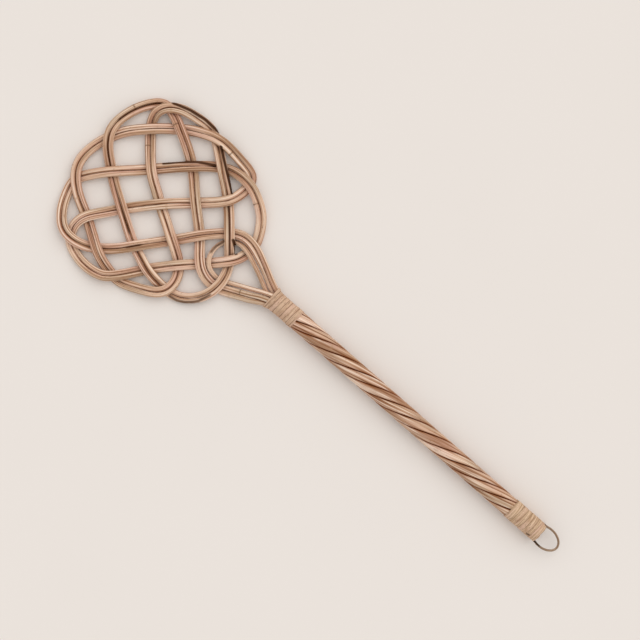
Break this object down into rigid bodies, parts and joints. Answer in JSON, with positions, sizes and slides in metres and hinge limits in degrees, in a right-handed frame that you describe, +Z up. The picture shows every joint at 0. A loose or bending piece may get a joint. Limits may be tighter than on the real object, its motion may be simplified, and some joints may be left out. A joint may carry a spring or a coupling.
{
  "type": "carpet beater",
  "caption": "Rattan carpet beater: a flat woven knot of doubled cane on a long twisted handle with wound bindings and a loop to hang it by.",
  "frame": {"origin": "on the surface the beater lies on, under the middle of its bounding box", "axes": "+Y along the length from the hanging loop to the woven head, +Z up from the surface it lies on, +X to the right seen from above with the head away from the viewer"},
  "size_m": [0.2378, 0.7498, 0.0258],
  "materials": {
    "weave_cane_outer": "satin rattan cane with its bark on, worn",
    "weave_cane_inner": "satin rattan cane with its bark on, worn",
    "eye_cane": "satin rattan cane with its bark on, greyer",
    "handle_core": "raw cane, hidden",
    "neck_binding": "split flat cane, half matt",
    "end_binding": "split flat cane, half matt, yellower",
    "hanging_loop": "thin cane, weathered grey-brown"
  },
  "bodies": {
    "root": {"weave_cane_outer": "weave_cane_outer", "weave_cane_inner": "weave_cane_inner", "eye_cane": "eye_cane", "handle_core": "handle_core", "neck_binding": "neck_binding", "end_binding": "end_binding", "hanging_loop": "hanging_loop"}
  },
  "joints": []
}
